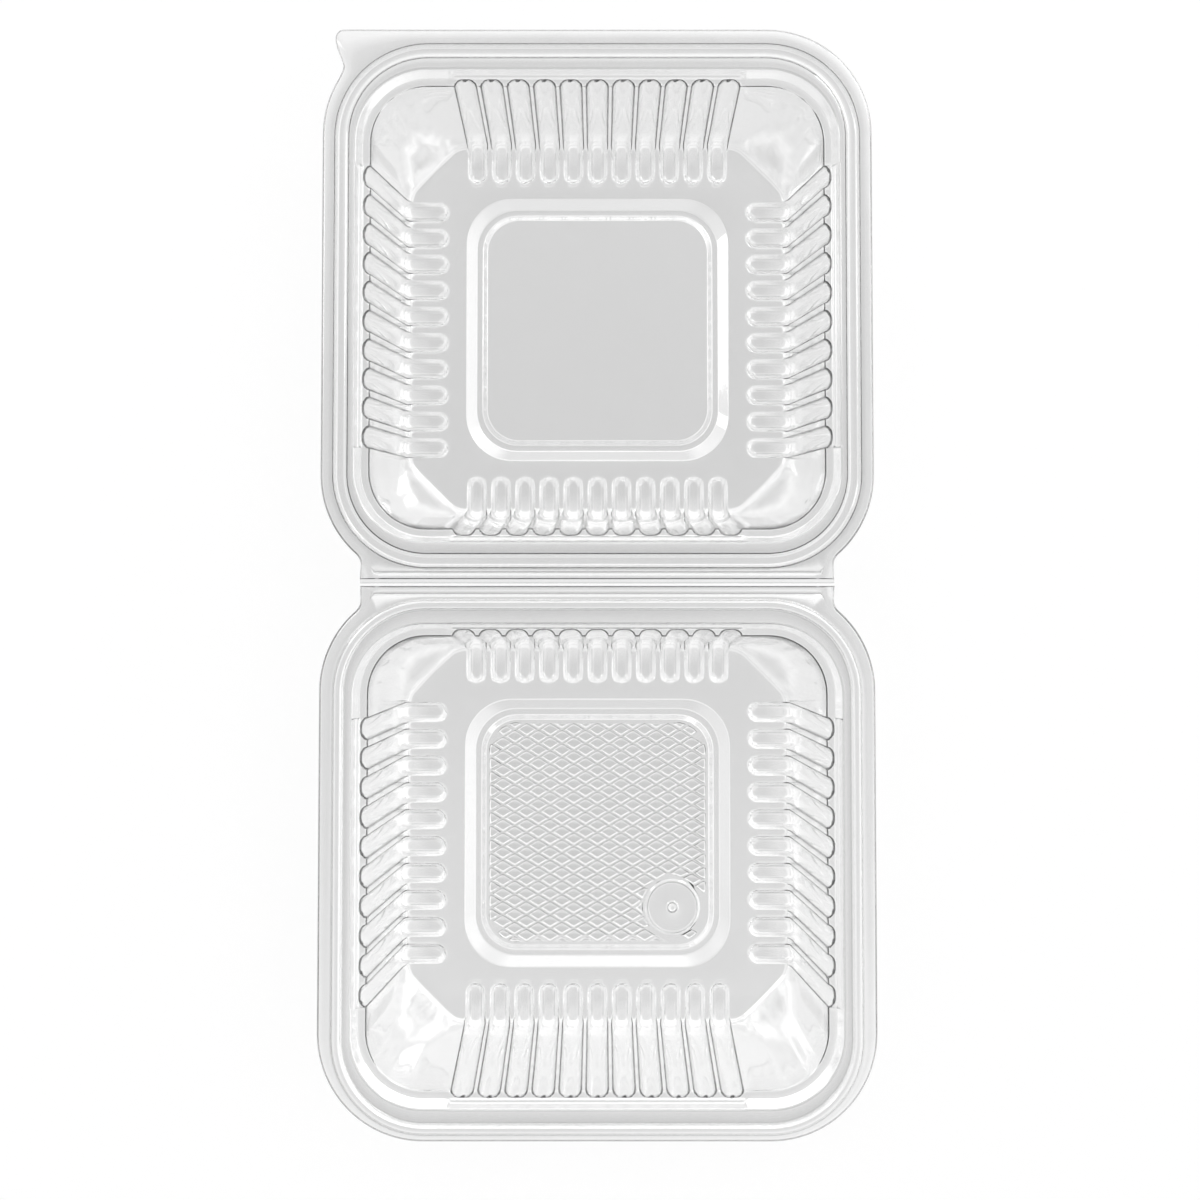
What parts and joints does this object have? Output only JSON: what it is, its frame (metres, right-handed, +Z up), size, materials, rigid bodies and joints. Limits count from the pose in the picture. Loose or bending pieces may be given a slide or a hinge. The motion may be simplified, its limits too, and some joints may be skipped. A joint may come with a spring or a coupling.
{
  "type": "hinged food clamshell pack",
  "caption": "Clear square clamshell pack for food, ribbed base and lid trays on one creased plastic hinge, opened out flat.",
  "frame": {"origin": "on the table, under the middle of the opened pack; the hinge line is 1.25 mm nearer to the base's front edge", "axes": "+X along the hinge, +Y from the base towards the opened lid, +Z up out of the mouths of both trays"},
  "size_m": [0.1526, 0.3056, 0.0396],
  "materials": {
    "clear_sheet": "clear formed plastic sheet, glossy both sides"
  },
  "bodies": {
    "base": {"base_tray": "clear_sheet"},
    "lid": {"lid_tray": "clear_sheet"}
  },
  "joints": [
    {"name": "lid_hinge", "type": "hinge", "parent": "base", "child": "lid", "pos_m": [0, -0.00125, 0.03815], "axis": [1, 0, 0], "range_deg": [0, 179.9]}
  ]
}
